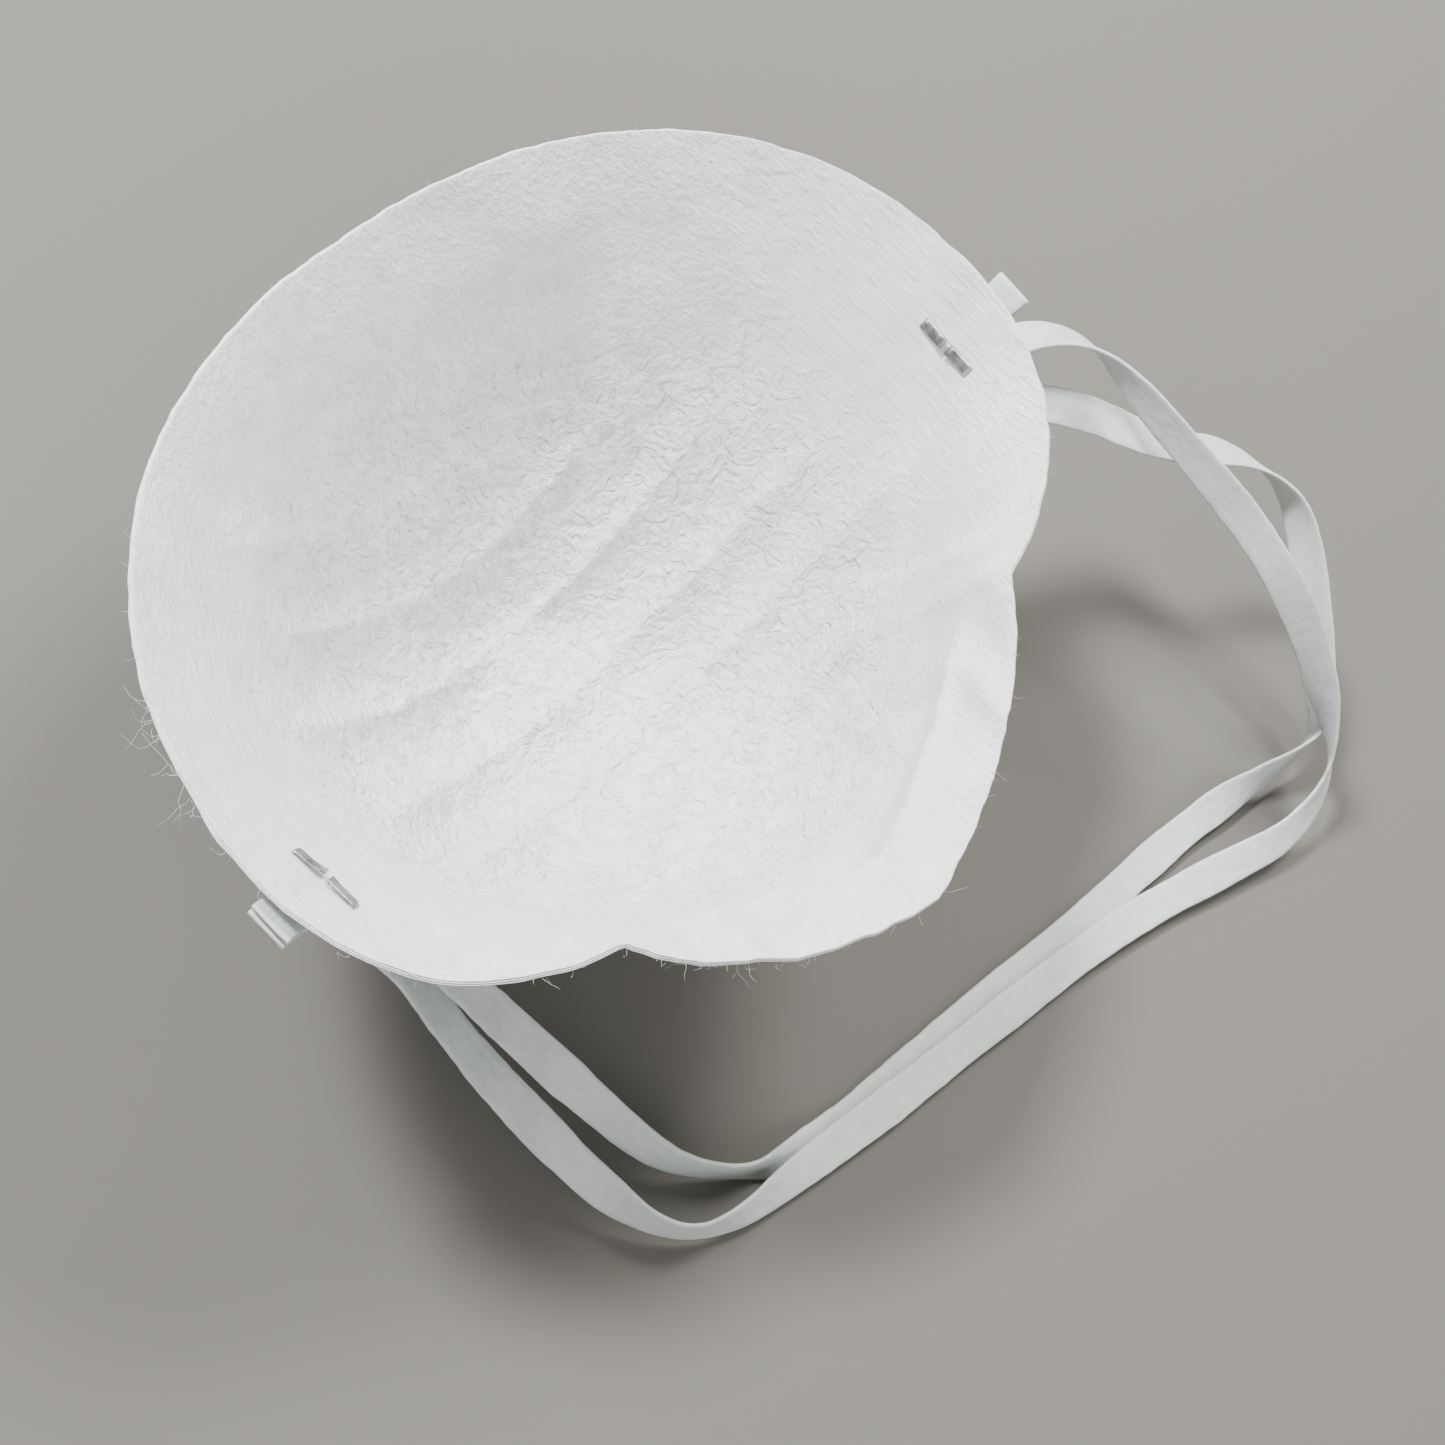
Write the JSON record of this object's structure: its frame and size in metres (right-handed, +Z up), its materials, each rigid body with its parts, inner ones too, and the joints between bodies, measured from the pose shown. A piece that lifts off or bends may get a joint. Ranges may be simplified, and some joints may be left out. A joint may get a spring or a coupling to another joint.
{
  "type": "dust mask",
  "caption": "Moulded non-woven cup mask lying on its front, open side up, with a nose clip outside the nose flange and two flat elastic straps stapled at each ear.",
  "frame": {"origin": "middle of the cup's footprint on the surface that it rests on", "axes": "+X across the mask from ear to ear, +Y from the nose to the chin, +Z up through the open side"},
  "size_m": [0.1726, 0.1524, 0.0556],
  "materials": {
    "inner_felt": "white needled non-woven, matt, with short stray fibres",
    "filter_felt": "white melt-blown web, matt",
    "cover_felt": "white smooth non-woven, matt",
    "clip_aluminium": "plain rolled aluminium",
    "elastic": "pale greenish-white elastic band, satin",
    "staple_wire": "flattened bright staple wire"
  },
  "bodies": {
    "mask": {"inner_shell": "inner_felt", "filter_web": "filter_felt", "outer_cover": "cover_felt", "nose_clip": "clip_aluminium", "staple_right": "staple_wire", "staple_left": "staple_wire"},
    "neck_loop": {"neck_strap": "elastic"},
    "crown_loop": {"crown_strap": "elastic"}
  },
  "joints": [
    {"name": "neck_loop_lift", "type": "hinge", "parent": "mask", "child": "neck_loop", "pos_m": [0, -0.0037, 0.0475], "axis": [-1, 0, 0], "range_deg": [0, 150], "deforming": ["neck_strap"]},
    {"name": "crown_loop_lift", "type": "hinge", "parent": "mask", "child": "crown_loop", "pos_m": [0, -0.0037, 0.0475], "axis": [-1, 0, 0], "range_deg": [0, 150], "deforming": ["crown_strap"]}
  ]
}
